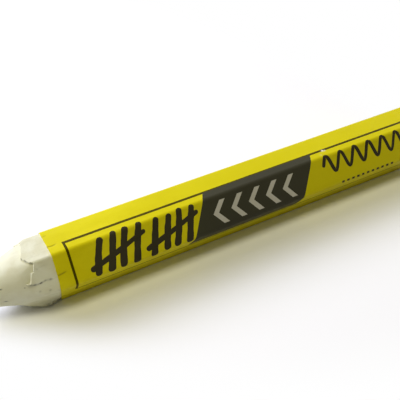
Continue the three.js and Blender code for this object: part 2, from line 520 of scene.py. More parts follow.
def paint_material(name, gloss, mottle, depth):
    """Solid paint: mottled cream, a waxy gloss that varies, and a darkening that the mesh carries: painted
    shade in the crack and under the torn edge, and darker specks and foot patches.
    """
    paint = Surface(name, Specular_IOR_Level=0.3, IOR=1.48)
    clouds = paint.noise(3.4, detail=4.0, distortion=0.4)
    streaks = paint.noise(0.9, stretch=(5, 1, 1))
    specks = paint.specks(1.3)
    colour = paint.mix(paint.ramp(clouds, 0.3, 0.7), PAINT_CREAM, PAINT_SHADE)
    colour = paint.mix(paint.ramp(streaks, 0.5, 0.8, 0.0, mottle), colour, PAINT_STREAK)
    colour = paint.mix(paint.ramp(specks, 0.02, 0.09, 0.35 * mottle, 0.0), colour, PAINT_SPECK)
    # The share that the mesh carries darkens the colour: painted shade in the crack and under the torn
    # edge, darker specks elsewhere
    colour = paint.mix(paint.field("grime"), colour, PAINT_SHADE_AND_DARK)
    roughness = paint.ramp(paint.noise(1.5, detail=4.0), 0.3, 0.7, gloss - 0.08, gloss + 0.1)
    grain = paint.noise(0.3)
    return paint.finish(colour, roughness, [(streaks, 0.05 * depth), (grain, 0.03 * depth)])


def glue_material():
    """Dried paper glue: yellowish, glossy and a little clouded."""
    glue = Surface("dried_glue_film", IOR=1.5, Coat_Weight=0.3)
    clouds = glue.noise(1.2)
    colour = glue.mix(glue.ramp(clouds, 0.3, 0.7), GLUE_PALE, GLUE_DEEP)
    return glue.finish(colour, glue.ramp(clouds, 0.3, 0.7, 0.25, 0.5), [(clouds, 0.02)])


# The printed paper

FRAME_FRONT = 3.57
# The widths of the frame's line along the top, up its ends and along its low side
FRAME_LINE, FRAME_UPRIGHT, FRAME_THIN = 0.72, 0.6, 0.4
FRAME_TOP_ACROSS, FRAME_LOW_ACROSS = 1.66, -0.42
PANEL_FROM, PANEL_TO, PANEL_SLANT, PANEL_LOW_GAP = 35.2, 66.2, 0.5, 0.75
TALLY_FROM, TALLY_STEP, TALLY_GROUP_STEP = 10.0, 3.15, 13.6
TALLY_HEIGHT, TALLY_WIDTH, TALLY_LEAN = 7.4, 1.75, 0.3
# The stroke across each group: its points from the group's first upright, and how far down
TALLY_ACROSS = [(-2.1, 2.2), (4.5, 0.2), (11.2, -2.1)]
CHEVRON_FROM, CHEVRON_STEP, CHEVRON_COUNT = 39.0, 4.9, 5
CHEVRON_HALF, CHEVRON_DEPTH, CHEVRON_WIDTH = 2.9, 2.3, 1.495
WAVE_FROM, WAVE_TO, WAVE_LENGTH = 71.5, 98.5, 4.5
WAVE_MIDDLE, WAVE_HEIGHT, WAVE_WIDTH = -1.9, 2.2, 1.0
TICKS_FROM, TICKS_TO = 76.0, 92.0
TICK_STEP, TICK_LENGTH = 1.6, 0.8
TICK_MIDDLE, TICK_HALF = 3.9, 0.35

PAPER_INK, BLACK_INK, PANEL_INK, PALE_INK, THIN_INK, BARE_PAPER = range(6)

label_middle = paper_side.middle("front_upper")
frame_top = paper_side.middle("top") + FRAME_TOP_ACROSS - label_middle
frame_low = paper_side.middle("front_lower") + FRAME_LOW_ACROSS - label_middle


def label(x, down):
    """A point of the print: x behind the paper's front edge, and down from the front flat's middle."""
    return (PAPER_FRONT + x, label_middle + down)


def label_box(x0, x1, down0, down1, slant=0.0):
    """A box on the label; with a slant its ends lean forward as they go down."""
    corners = [
        label(x0 - slant * down0, down0), label(x1 - slant * down0, down0),
        label(x1 - slant * down1, down1), label(x0 - slant * down1, down1),
    ]
    return resample(corners, 0.45, closed=True)


def frame_lines():
    """A plain rectangular line round the label."""
    back = PAPER_BACK - PAPER_FRONT - FRAME_FRONT
    half, upright, thin = FRAME_LINE / 2, FRAME_UPRIGHT / 2, FRAME_THIN / 2
    for x in (FRAME_FRONT, back):
        yield label_box(x - upright, x + upright, frame_top - half, frame_low + thin)
    for across, wide in ((frame_top, half), (frame_low, thin)):
        yield label_box(FRAME_FRONT + upright, back - upright, across - wide, across + wide)


def tally_marks():
    """Two groups of counting strokes, each four uprights and one across, drawn by hand."""
    draw = random.Random(7)
    for group in range(2):
        start = TALLY_FROM + group * TALLY_GROUP_STEP
        for i in range(4):
            foot = start + i * TALLY_STEP + draw.uniform(-0.25, 0.25)
            low = TALLY_HEIGHT / 2 + draw.uniform(-0.3, 0.3)
            high = -TALLY_HEIGHT / 2 + draw.uniform(-0.5, 0.4)
            lean = TALLY_LEAN * (low - high)
            bow = draw.uniform(-0.25, 0.25)
            line = [label(foot - lean / 2 + lean * t + bow * math.sin(math.pi * t), low + (high - low) * t)
                    for t in (0, 0.2, 0.4, 0.6, 0.8, 1)]
            yield stroke(line, TALLY_WIDTH, seed=10 * group + i, taper=0.85)
        line = [label(start + x, down) for x, down in TALLY_ACROSS]
        yield stroke(line, TALLY_WIDTH * 0.8, seed=10 * group + 5, taper=0.8)


def panel_chevrons():
    for i in range(CHEVRON_COUNT):
        x = CHEVRON_FROM + i * CHEVRON_STEP
        ends = x + CHEVRON_DEPTH
        corners = [(x, 0), (ends, -CHEVRON_HALF), (ends + CHEVRON_WIDTH, -CHEVRON_HALF),
                   (x + CHEVRON_WIDTH, 0), (ends + CHEVRON_WIDTH, CHEVRON_HALF), (ends, CHEVRON_HALF)]
        yield resample([label(*c) for c in corners], 0.4, closed=True)


def wave_and_ticks():
    stations = np.linspace(WAVE_FROM, WAVE_TO, round((WAVE_TO - WAVE_FROM) / 0.3) + 1)
    swings = np.sin(2 * math.pi * (stations - WAVE_FROM) / WAVE_LENGTH)
    line = [label(x, WAVE_MIDDLE - WAVE_HEIGHT * swing) for x, swing in zip(stations, swings)]
    yield stroke(line, WAVE_WIDTH, seed=40, taper=0.9)
    x = TICKS_FROM
    while x < TICKS_TO:
        yield label_box(x, x + TICK_LENGTH, TICK_MIDDLE - TICK_HALF, TICK_MIDDLE + TICK_HALF)
        x += TICK_STEP


PITCH = paper_side.pitch
# How deep the paper's slack is, with its random field, and how it softens next to each bend
PAPER_SLACK = [(0.022, (0.5, 6.5, 11, 0.4)), (0.008, (0.5, 2.4, 12, 0.4))]
BEND_DIP, BEND_WIDTH = 0.04, 0.55
# How far the paper stands out along its lower front corner, and how far up that starts
PAPER_FLARE, PAPER_FLARE_UP = 0.3, 2.4
# Lengthwise wrinkles at the paper's front edge: across the label, length, depth, and how sharp
PAPER_CREASES = [(-PITCH + 1.35, 2.4, 0.06, 0.16), (0.55, 2.5, 0.07, 0.16), (-PITCH - 2.3, 1.3, 0.03, 0.2),
                 (PITCH + 1.9, 1.7, 0.05, 0.16), (-2 * PITCH + 0.4, 2.0, 0.05, 0.16)]
# Where the mesh has rows of points along each wrinkle, in widths of the wrinkle
CREASE_ROWS = (-2.2, -1.4, -0.9, -0.45, 0, 0.45, 0.9, 1.4, 2.2)
# How far the front edge of the paper stands before (-) or behind its place, across the label
FRONT_BOW = [(-3 * PITCH, 0.1), (-2 * PITCH, -0.1), (-1.5 * PITCH, 0), (-PITCH / 2, 0), (1.5, -0.1),
             (PITCH / 2, -0.3), (PITCH, 0.1), (1.5 * PITCH, 0.35), (2 * PITCH, 0.1), (3 * PITCH, 0)]
# Spots where the paper's colour turns near-white: behind the front edge, across the label, size, strength
PAPER_PALE_SPOTS = [(73.2, -6.25, 0.3, 0.95), (73.75, -6.1, 0.22, 0.6), (71.9, -5.0, 0.25, 0.25),
              (20.4, -12.3, 0.22, 0.4), (90.0, 12.1, 0.2, 0.4)]


def crease_field(x, v):
    """How deep each wrinkle is at each point, from 0 to 1 times its depth."""
    total = np.zeros(np.shape(v))
    behind = x - PAPER_FRONT
    for across, length, depth, width in PAPER_CREASES:
        bend = 0.1 * np.sin(behind * 2.1 + across)
        shape = bell(v - label_middle - across - bend, width)
        total = total + depth * shape * (1 - smooth(0.55 * length, length, behind))
    return total


def paper_dip(x, v):
    """How far the paper lies inside its nominal outside: slack, wrinkles and softened bends."""
    place = paper_side.place(x, v, 0)
    across = np.abs(v - np.round(v / PITCH) * PITCH)
    total = BEND_DIP * bell(np.clip(paper_side.half_flat - across, 0, None), BEND_WIDTH)
    for depth, layer in PAPER_SLACK:
        total = total + depth * np.clip(0.5 + relief(place, [layer]), 0, 1)
    return total + crease_field(x, v)


def paper_lift(v):
    """The lap's climb over the sheet's start."""
    top = paper_side.round + LAP_START - LAP_RAMP_GAP
    return LAP_RISE * smooth(top - LAP_RAMP, top, v)


def paper_outside(x, v, out=0.0):
    """The sheet, which stands out a little along its lower front corner, creased on the floor."""
    points = paper_side.place(x, v, out + paper_lift(v) - paper_dip(x, v))
    past = v - paper_side.corner("front_lower", "bottom")
    points[:, 1] -= PAPER_FLARE * smooth(-PAPER_FLARE_UP, 0, past) * (1 - smooth(0.1, 1.5, past))
    return points


def paper_inside(x, v):
    return paper_outside(x, v, -PAPER_THICKNESS)


def shell(form, flat, faces, outside, inside_of, inks, rim_ink, rim_end=math.inf):
    """Adds both sides of a sheet, and a rim between them as far as rim_end along the stick.

    Returns where each side's points start.
    """
    x, v = flat[:, 0], flat[:, 1]
    outer = form.add_points(outside(x, v))
    inner = form.add_points(inside_of(x, v))
    out_normals = outward(outside, x, v)
    in_normals = -outward(inside_of, x, v)
    for corners, ink in zip(faces, inks):
        turned = corners[::-1]
        form.add_face(turned + outer, ink, [out_normals[c] for c in turned])
        form.add_face(corners + inner, rim_ink, [in_normals[c] for c in corners])
    for a, b in open_edges(faces):
        if min(flat[a][0], flat[b][0]) < rim_end:
            form.add_face((a + outer, b + outer, b + inner, a + inner), rim_ink)
    return outer, inner


def front_edge(v):
    """Where the paper's front edge lies round the stick: it is cut a little out of square."""
    return PAPER_FRONT + profile(v - label_middle, FRONT_BOW) + 0.02 * np.sin(3.1 * v)


def build_paper():
    low, high = LAP_START, paper_side.round + LAP_START + LAP_WIDTH
    panel = label_box(PANEL_FROM, PANEL_TO, frame_top, frame_low - PANEL_LOW_GAP, PANEL_SLANT)
    layers = [(frame_lines(), THIN_INK), ([panel], PANEL_INK), (panel_chevrons(), PALE_INK),
              (tally_marks(), BLACK_INK), (wave_and_ticks(), BLACK_INK)]
    prints = [(outline, ink) for outlines, ink in layers for outline in outlines]
    across = np.linspace(high, low, round((high - low) / 0.5))
    back = resample([(PAPER_BACK, low), (PAPER_BACK, high)], 0.6)
    sheet = resample([*zip(front_edge(across), across), *back], 0.6, closed=True)
    rows = paper_side.rows(low, high, 0.75, 8)
    stations = [*np.arange(PAPER_FRONT - 0.2, PAPER_FRONT + 3, 0.3),
                *np.arange(PAPER_FRONT + 3.1, PAPER_BACK - 0.3, 0.8)]
    loose = [(x, v) for x in stations for v in rows]
    for middle, length, _, width in PAPER_CREASES:
        loose += [(x, label_middle + middle + side * width) for side in CREASE_ROWS
                  for x in np.arange(PAPER_FRONT - 0.1, PAPER_FRONT + length, 0.2)]
    for behind, down, size, _ in PAPER_PALE_SPOTS:
        x, v = label(behind, down)
        for angle in np.radians(range(0, 360, 30)):
            loose += [(x + reach * size * math.cos(angle), v + reach * size * math.sin(angle))
                      for reach in (0, 0.5, 1, 1.6)]
    flat, faces = triangulate([sheet] + sorted((outline for outline, _ in prints), key=len), loose, 0.12)
    centres = flat[faces].mean(1)
    inks = np.full(len(faces), PAPER_INK)
    for outline, ink in prints:
        inks[inside(centres, outline)] = ink
    form = Form()
    shell(form, flat, faces, paper_outside, paper_inside, inks, BARE_PAPER)
    # Painted shade along the wrinkles at the front edge
    grime = np.clip(crease_field(flat[:, 0], flat[:, 1]) * 9, 0, 0.6)
    wear = dots(flat, [(*label(behind, down), size, share) for behind, down, size, share in PAPER_PALE_SPOTS])
    wear = np.clip(wear * (1 + 0.6 * waves(paper_outside(flat[:, 0], flat[:, 1]), 0.4, 61)), 0, 1)
    inks = {"black": INK_BLACK, "panel": INK_PANEL, "pale": INK_PALE, "thin": INK_THIN}
    materials = [paper_material("paper_yellow", *PAPER_YELLOW, PAPER_CREASE_SHADE, 0.42)]
    materials += [paper_material("paper_" + name + "_ink", *pair, pair[0], 0.45)
                  for name, pair in inks.items()]
    materials.append(paper_edge_material())
    form.build("paper_wrapper_sheet", materials, "yellow_paper", "paper_wrapper",
               grime=np.tile(grime, 2), wear=np.tile(wear, 2))


# The soft paint: a turned nose that blends into the hexagonal bar

SOFTENING = 0.5
# What is random in the paint's side, as relief() takes it
CORE_RELIEF = [(0.03, 4.5, 21, 0.6), (0.01, 1.1, 22, 0.35)]
CORE_STEP, CORE_AROUND, TIP_RINGS = 0.16, 360, 14
CLEAR_OF_FLOOR = 0.02
# Specks sunk in the nose: distance behind the shoulder, angle round the axis, length, height and depth
PAINT_PITS = [(-4.77, 187.0, 0.38, 0.14, 0.1), (-5.12, 147.5, 0.3, 0.16, 0.08),
              (-0.4, 158.5, 0.12, 0.1, 0.05), (-3.6, 5.0, 0.3, 0.2, 0.1),
              (-6.8, 275.0, 0.25, 0.2, 0.08), (-7.2, 20.0, 0.2, 0.14, 0.06)]
# Where the foot of the nose has slumped to the floor: behind the shoulder, and how far it reaches out
SLUMP = [(-2.4, 0), (-1.4, 0.12), (-0.6, 0.4), (0.3, 0.6), (1.6, 0.6), (2.8, 0.4), (4.0, 0.2), (6.0, 0)]
SLUMP_ANGLE, SLUMP_WIDTH = math.radians(237), math.radians(10)


def cone_radius(x):
    """The nose's radius at a station, with its round tip."""
    joint = TIP + NOSE_TIP_RADIUS * (1 - math.sin(NOSE_HALF_ANGLE))
    ahead = np.clip(x - TIP, 0, None)
    round_tip = np.sqrt(np.clip(ahead * (2 * NOSE_TIP_RADIUS - ahead), 0, None))
    return np.where(x < joint, round_tip, (x - TIP_APEX) * math.tan(NOSE_HALF_ANGLE))


def hex_radius(angle, apothem, radius):
    """Distance from the axis to a rounded hexagon, in a direction round the axis."""
    off = np.mod(angle, FLAT_STEP) - FLAT_STEP / 2
    on_flat = apothem / np.cos(off)
    from_corner = FLAT_STEP / 2 - np.abs(off)
    centre = (apothem - radius) / COS_30
    inner = np.clip(radius ** 2 - (centre * np.sin(from_corner)) ** 2, 0, None)
    on_arc = centre * np.cos(from_corner) + np.sqrt(inner)
    return np.where(np.abs(apothem * np.tan(off)) <= (apothem - radius) * TAN_30, on_flat, on_arc)


def softer_minimum(a, b, width):
    share = np.clip(0.5 + 0.5 * (b - a) / width, 0, 1)
    return b * (1 - share) + a * share - width * share * (1 - share)


core_radius_of_corner = CORNER_RADIUS - (PAPER_APOTHEM - CORE_APOTHEM)


def pit_field(base, angle):
    """How much of each sunken speck there is at each point, and its depth times that."""
    dark_share = np.zeros(len(base))
    depth = np.zeros(len(base))
    reach = np.hypot(base[:, 1], base[:, 2] - AXIS_HEIGHT)
    for behind, degrees, length, height, sunk in PAINT_PITS:
        off = np.mod(angle - math.radians(degrees) + math.pi, 2 * math.pi) - math.pi
        shape = bell(base[:, 0] - SHOULDER - behind, length) * bell(off * reach, height)
        dark_share = np.maximum(dark_share, shape)
        depth = depth + sunk * shape
    return dark_share, depth


def core_reach(x, angle):
    """Distance from the axis to the soft paint's side, with its relief."""
    bar = hex_radius(angle, CORE_APOTHEM, core_radius_of_corner)
    radius = softer_minimum(cone_radius(x), bar, SOFTENING * smooth(0, 4, x - TIP))
    base = around_axis(x, angle, radius)
    uneven = relief(base, CORE_RELIEF) * smooth(0.0, 1.5, x - TIP) - 0.01
    off = np.mod(angle, 2 * math.pi) - SLUMP_ANGLE
    slump = profile(x - SHOULDER, SLUMP) * bell(off, SLUMP_WIDTH)
    return radius + uneven + slump - pit_field(base, angle)[1]


def around_axis(x, angle, radius):
    return np.stack([x + 0 * angle, radius * np.cos(angle), AXIS_HEIGHT + radius * np.sin(angle)], -1)


def core_surface(x, angle, off=0.0):
    """Points on or off the soft paint's side, which never reach below what the stick lies on."""
    points = around_axis(x, angle, core_reach(x, angle) + off)
    points[:, 2] = np.maximum(points[:, 2], CLEAR_OF_FLOOR)
    return points


def build_core():
    joint = math.pi / 2 - NOSE_HALF_ANGLE
    stations = [TIP + NOSE_TIP_RADIUS * (1 - math.cos(joint * i / TIP_RINGS))
                for i in range(1, TIP_RINGS + 1)]
    stations += list(np.arange(stations[-1] + CORE_STEP, PAPER_FRONT + 1.5, CORE_STEP))
    stations += [PAPER_FRONT + 4, 0.0, CORE_BACK - BUTT_ROUNDING]
    around = CORE_AROUND
    angles = np.radians(np.arange(around) * 360 / around)
    rings = [core_surface(np.full(around, x), angles) for x in stations]
    last = rings[-1]
    for swing in np.radians((30, 60, 90)):
        shrink = 1 - BUTT_ROUNDING * (1 - math.cos(swing)) / CORE_APOTHEM
        ring = AXIS + (last - AXIS) * shrink
        ring[:, 0] = last[:, 0] + BUTT_ROUNDING * math.sin(swing)
        rings.append(ring)
    normals = ring_normals(np.array(rings))
    form = Form()
    first = form.add_points(rings[0])
    ring = list(range(first, first + around))
    form.fan(ring, AXIS + [TIP, 0, 0], flip=True)
    for i, points in enumerate(rings[1:]):
        ring = form.bridge(ring, points, normals=normals[i:i + 2])
    form.fan(ring, AXIS + [CORE_BACK, 0, 0])
    angle = np.arctan2(form.points[:, 2] - AXIS_HEIGHT, form.points[:, 1])
    # The sunken specks darken the nose's colour
    grime = 0.85 * pit_field(form.points, angle)[0]
    material = paint_material("paint_soft", gloss=0.6, mottle=0.3, depth=0.5)
    form.build("paint_core_nose", [material], "soft_paint", "paint_core", grime=grime)


def ring_normals(rings):
    """Smooth outward normals of a side that is made of rings of points, from the front to the back."""
    along = np.gradient(rings, axis=0)
    across = np.roll(rings, -1, axis=1) - np.roll(rings, 1, axis=1)
    normal = np.cross(across, along)
    size = np.linalg.norm(normal, axis=2, keepdims=True)
    return normal / np.clip(size, 1e-12, None)


# The dried skin, torn round its front and closed over the butt

# Its torn front edge on each flat, from the flat's lower to its higher angle round the axis.
# Each point is [share of the flat's half width from its middle, distance behind the shoulder].
TORN_EDGE = {
    "back_lower": [(-1, 2.7), (-0.6, 2.4), (-0.5, 1.6), (0.1, 1.0), (0.5, 1.3), (0.6, 2.2), (1, 2.9)],
    "back_upper": [(-1, 2.9), (-0.7, 2.1), (-0.1, 1.2), (0.4, 1.0), (0.5, 1.9), (1, 3.0)],
    "top": [(-1, 3.0), (-0.82, 2.1), (-0.3, 1.6), (0.36, 0.76), (0.44, 0.86), (0.68, 1.44), (0.95, 2.1),
            (1, 2.6)],
    "front_upper": [(-1, 2.6), (-0.94, 2.75), (-0.5, 2.2), (-0.49, 1.62), (0, 1.02), (0.06, 0.8),
                    (0.05, 0.1), (0.12, 0.05), (0.2, 0.25), (0.5, 0.4), (1, 0.5)],
    "front_lower": [(-1, 0.5), (0, 0.3), (1, 0.4)],
    "bottom": [(-1, 0.4), (-0.5, 1.2), (0, 1.2), (0.5, 0.9), (0.8, 2.1), (1, 2.7)],
}
# The crack that runs back from the front plate's corner to the paper, in the same terms
CRACK = [(0.1, 0.1), (0.17, 0.8), (0.22, 1.4), (0.25, 1.92), (0.26, 3.03), (0.2, 4.23), (0.24, 5.2),
         (0.25, 6.2)]
# Where the crack is open and darkened with painted shade: behind the shoulder, half its length there, how
# strongly
CRACK_GAPS = [(1.0, 0.4, 0.45), (1.75, 0.45, 0.8), (3.1, 0.4, 1.0), (4.1, 0.35, 0.5), (5.25, 0.4, 0.6)]
# How wide the plates' torn walls slope, where they face the camera and elsewhere, and the share of
# their thickness that stands at the very edge
WALL_WIDE, WALL_STEEP, WALL_EDGE = 0.3, 0.08, 0.35
# Specks in the skin: flat, share of its half width, behind the shoulder, size, depth, and how far they
# darken the colour
SKIN_PITS = [
    ("front_upper", 0.87, 4.56, 0.24, 0.1, 0.4),
    ("front_upper", 0.77, 2.41, 0.26, 0.1, 0.35),
    ("front_upper", -0.57, 3.15, 0.22, 0.07, 0.2),
    ("front_upper", 0.2, 5.35, 0.2, 0.05, 0.2),
    ("top", 0.5, 3.3, 0.25, 0.03, 0.08),
    ("back_upper", -0.2, 4.1, 0.25, 0.08, 0.3),
    ("back_lower", 0.3, 3.4, 0.3, 0.08, 0.3),
]
# Dark flecks of painted shadow under the top plate's torn edge, with their strength last
EDGE_SHADOW_FLECKS = [("top", 0.44, 0.86, 0.16, 0.9), ("top", 0.62, 1.3, 0.2, 0.5), ("top", 0.7, 1.5, 0.16, 0.6),
               ("top", 0.97, 2.2, 0.22, 0.7)]
# The front plate's loose corner, with how far it stands up last
FLAP = ("front_upper", 0.1, 0.35, 0.35, 0.12)
# The smear along the foot of the bare paint and the skin, which spreads over what the stick lies on:
# distance behind the shoulder and how far it stands out there, and at what heights it starts and ends
FOOT_SPREAD = [(1.6, 0), (2.6, 0.3), (3.3, 0.6), (3.9, 0.86), (4.4, 0.95), (4.9, 0.95), (5.4, 0.83),
               (5.9, 0.7), (6.4, 0.55), (6.9, 0.4), (7.6, 0.1), (8.6, 0)]
FOOT_UP, FOOT_UNDER = 2.1, 1.6
# What is random in the torn edge, the skin's side, the smear, the darker patches along the foot and the
# butt, as relief() takes it
RAGGED_ALONG = [(0.05, 0.9, 31, 1), (0.035, 0.35, 32, 1)]
RAGGED_ROUND = [(0.05, 0.7, 33, 1)]
SKIN_RELIEF = [(0.03, 3.6, 41, 0.7), (0.012, 0.8, 42, 1)]
FOOT_RAGGED = [(0.1, 0.9, 43, 1), (0.07, 0.35, 46, 1)]
FOOT_DARK_PATCHES = [(0.35, 0.9, 44, 1), (0.35, 0.32, 45, 1)]
BUTT_RELIEF = [(0.02, 2.2, 51, 1)]
BUTT_RINGS, BUTT_DISH = 12, 0.05
FLUSH = 0.004
CRACK_WIDTH, CRACK_DEPTH = 0.17, 0.3
# The smooth stretch's rise to the skin's level, in front and near its foot: how far, over what length
SLOW_RISE, QUICK_RISE = (0.42, 0.3, 8.0), (0.44, 0.0, 3.4)
# The share of the flat's half width where that stretch ends below, and where the wide walls start
STRETCH_END, WALLS_FROM = -0.55, -0.5
# The darker patches along the foot: where they fade in and out round the stick and along it, and their
# mean
FOOT_DARK_LOW, FOOT_DARK_HIGH, FOOT_DARK_BEHIND, FOOT_DARK_MEAN = (-1.5, -0.5), (2.0, 3.0), (3.1, 4.4), 0.62
SKIN_SEAM = skin_side.middle("bottom")
SKIN_END = BUTT - BUTT_ROUNDING
SKIN_FOOT = skin_side.corner("front_lower", "bottom")
# The seam's stations, where the skin is closed into a ring
SEAM_FROM, SEAM_STEP = -45.5, 0.5
# How far off the torn edge and the crack the mesh has rows of points
EDGE_ROWS = (0.07, 0.15, 0.24, 0.33)
CRACK_ROWS = (-0.16, -0.1, -0.05, 0, 0.05, 0.1, 0.16, 0.24)


def skin_point(flat, share, behind):
    """A place on the skin, by flat, share of its half width and distance behind the shoulder."""
    return (SHOULDER + behind, skin_side.middle(flat) + share * skin_side.pitch / 2)


crack_line = np.array([skin_point("front_upper", *p) for p in CRACK])


def torn_line():
    """The torn edge all round, from the seam and back to it, ragged at a small scale."""
    start = [skin_point("bottom", *corner) for corner in TORN_EDGE["bottom"] if corner[0] >= 0]
    line = [(x, v - skin_side.round) for x, v in start]
    for flat, corners in TORN_EDGE.items():
        line += [skin_point(flat, *corner) for corner in corners[1:] if flat != "bottom" or corner[0] <= 0]
    points = resample(line, 0.14)
    place = skin_side.place(points[:, 0], points[:, 1], 0)
    fade = np.sin(np.linspace(0, math.pi, len(points))) ** 0.15
    points[:, 0] += fade * relief(place, RAGGED_ALONG)
    points[:, 1] += fade * relief(place, RAGGED_ROUND)
    return points


def crack_level(x):
    return np.interp(x, crack_line[:, 0], crack_line[:, 1])


def crack_gaps(x):
    """How open the crack is along its length."""
    behind = x - SHOULDER
    total = 0.25 * smooth(0.5, 0.9, behind) * (1 - smooth(5.0, 6.2, behind))
    for middle, half_length, strength in CRACK_GAPS:
        total = np.maximum(total, strength * bell(behind - middle, half_length))
    return total


def skin_sides(x, v):
    """1 on the plates, and 0 on the smooth stretch below the crack, where the skin thins out."""
    v = np.asarray(v, float)
    end = skin_point("bottom", STRETCH_END, 0)[1]
    below = smooth(-CRACK_WIDTH / 2, CRACK_WIDTH / 2, v - crack_level(x))
    before = 1 - smooth(-0.6, 0.6, v - end)
    return 1 - below * before


def plate_walls(x, v):
    """The share of a plate's thickness that is left near its torn edge."""
    gap = distance_to(np.stack([x, v], -1), skin_torn)
    start = skin_point("front_upper", WALLS_FROM, 0)[1]
    wide = smooth(-0.2, 0.1, v - start) * (1 - smooth(0.8, 1.4, v - start - skin_side.pitch / 2))
    width = WALL_STEEP + (WALL_WIDE - WALL_STEEP) * wide
    return WALL_EDGE + (1 - WALL_EDGE) * np.clip(gap / width, 0, 1)


def plate_out(x, v):
    """How far a plate stands out from the skin's nominal outside, with the crack and the specks."""
    cover = SKIN_THICKNESS * plate_walls(x, v)
    groove = bell(v - crack_level(x) - 0.03, CRACK_WIDTH) * crack_gaps(x)
    groove = CRACK_DEPTH * groove * (x < PAPER_FRONT + 1)
    return cover - SKIN_THICKNESS - groove + skin_dots(x, v, [FLAP]) + skin_relief(x, v)


def stretch_rise(x, v):
    """How far the smooth stretch stands off the soft paint: nothing in front, the skin's level behind."""
    behind = x - SHOULDER
    near_foot = smooth(-2.6, -0.3, v - SKIN_FOOT)
    slow, quick = (rise * smooth(start, end, behind) for rise, start, end in (SLOW_RISE, QUICK_RISE))
    return FLUSH + slow * (1 - near_foot) + quick * near_foot


def foot_spread(x, v):
    """How far the smear at the stick's foot stands out over the floor, towards the front."""
    past = v - SKIN_FOOT
    ragged = 1 + relief(skin_side.place(x, v, 0), FOOT_RAGGED)
    shape = smooth(-FOOT_UP, -0.1, past) * (1 - smooth(0.3, FOOT_UNDER, past))
    return profile(x - SHOULDER, FOOT_SPREAD) * shape * ragged


skin_torn = torn_line()


def skin_dots(x, v, spots):
    """Soft spots on the skin, each a place as skin_point() takes it, a size and a strength."""
    placed = [(*skin_point(flat, share, behind), *rest) for flat, share, behind, *rest in spots]
    return dots(np.stack([x, v], -1), placed)


def skin_pits(x, v):
    return skin_dots(x, v, [(*spot, -depth) for *spot, depth, _ in SKIN_PITS])


def skin_relief(x, v):
    return relief(skin_side.place(x, v, 0), SKIN_RELIEF) - 0.03 + skin_pits(x, v)


def skin_outside(x, v):
    plate = skin_side.place(x, v, plate_out(x, v))
    stretch = on_stretch(x, v, stretch_rise(x, v))
    points = mix_by(skin_sides(x, v), stretch, plate)
    points[:, 1] -= foot_spread(x, v)
    return points


def skin_inside(x, v):
    plate = skin_side.place(x, v, -SKIN_THICKNESS - 0.005 + 0 * v)
    stretch = on_stretch(x, v, 0.5 * FLUSH + 0 * v)
    return mix_by(skin_sides(x, v), stretch, plate)


def on_stretch(x, v, off):
    """Points just off the soft paint's own side, and never below what the stick lies on."""
    nominal = skin_side.place(x, v, 0)
    angle = np.arctan2(nominal[:, 2] - AXIS_HEIGHT, nominal[:, 1])
    return core_surface(x, angle, off + np.maximum(skin_pits(x, v), 0.5 * FLUSH - off))


def mix_by(share, first, second):
    return first + (second - first) * share[:, None]


def build_skin():
    low, high = SKIN_SEAM - skin_side.round, SKIN_SEAM
    seam_start = max(skin_torn[0][0], skin_torn[-1][0]) + 0.2
    seam = [x for x in np.arange(SEAM_FROM, SKIN_END, SEAM_STEP) if x > seam_start] + [SKIN_END]
    rows = skin_side.rows(low, high, 0.2, 9)
    back_rows = skin_side.rows(low, high, 0.9, 6)
    outline = np.array([*skin_torn, *((x, high) for x in seam), *((SKIN_END, v) for v in back_rows[::-1]),
                        *((x, low) for x in seam[::-1])])
    crack = resample(crack_line, 0.12)
    along = np.gradient(skin_torn, axis=0)
    along /= np.linalg.norm(along, axis=1, keepdims=True)
    loose = []
    for off in EDGE_ROWS:
        loose += [tuple(p) for p in skin_torn + off * np.stack([along[:, 1], -along[:, 0]], -1)]
    for off in CRACK_ROWS:
        loose += [(x, v + off) for x, v in crack[2:]]
    crack_tree = search_tree(crack)
    fine_end = PAPER_FRONT + 1.2
    for x in np.arange(SHOULDER + 0.1, fine_end, 0.2):
        loose += [(x, v) for v in rows if crack_tree.find((x, v, 0))[2] > 0.26]
    for x in list(np.arange(fine_end + 0.8, SKIN_END - 3, 3.0)) + [SKIN_END - 1.2, SKIN_END - 0.6]:
        loose += [(x, v) for v in back_rows]
    flat, faces = triangulate([outline], loose, 0.045)
    at_high = {round(x, 4): i for i, (x, v) in enumerate(flat) if abs(v - high) < 1e-4}
    twin = {i: at_high[round(x, 4)] for i, (x, v) in enumerate(flat)
            if abs(v - low) < 1e-4 and round(x, 4) in at_high}
    faces = np.array([[twin.get(i, i) for i in f] for f in faces.tolist()])
    form = Form()
    inks = np.zeros(len(faces), int)
    outer, inner = shell(form, flat, faces, skin_outside, skin_inside, inks, 0, SKIN_END - 1e-4)
    back = sorted((i for i in set(faces.ravel().tolist()) if abs(flat[i][0] - SKIN_END) < 1e-4),
                  key=lambda i: flat[i][1])
    close_butt(form, [i + outer for i in back], [i + inner for i in back], flat[back][:, 1])
    grime = skin_grime(form.points, flat, outer)
    material = paint_material("paint_dry", gloss=0.66, mottle=0.5, depth=1.0)
    form.build("dried_skin_sheath", [material], "dry_skin", "dried_skin", grime=grime)


def close_butt(form, outer_ring, inner_ring, v):
    """Rounds the skin over the bar's butt, and closes it outside and inside."""
    ring = outer_ring
    for swing in np.radians((22.5, 45, 67.5, 90)):
        inset = BUTT_ROUNDING * (1 - math.cos(swing))
        x = np.full(len(v), SKIN_END + BUTT_ROUNDING * math.sin(swing))
        ring = form.bridge(ring, skin_side.place(x, v, -inset))
    edge = form.points[ring]
    centre = AXIS + [BUTT, 0, 0]
    for i in range(1, BUTT_RINGS):
        share = 1 - i / BUTT_RINGS
        points = centre + (edge - centre) * share
        dish = BUTT_DISH * (1 - share) + relief(points, BUTT_RELIEF)
        points[:, 0] = BUTT - np.clip(dish, 0, 0.2)
        ring = form.bridge(ring, points)
    form.fan(ring, centre - [BUTT_DISH, 0, 0])
    floor_x = BUTT - SKIN_THICKNESS
    points = form.points[inner_ring].copy()
    points[:, 0] = floor_x
    form.fan(form.bridge(inner_ring, points, flip=True), AXIS + [floor_x, 0, 0], flip=True)


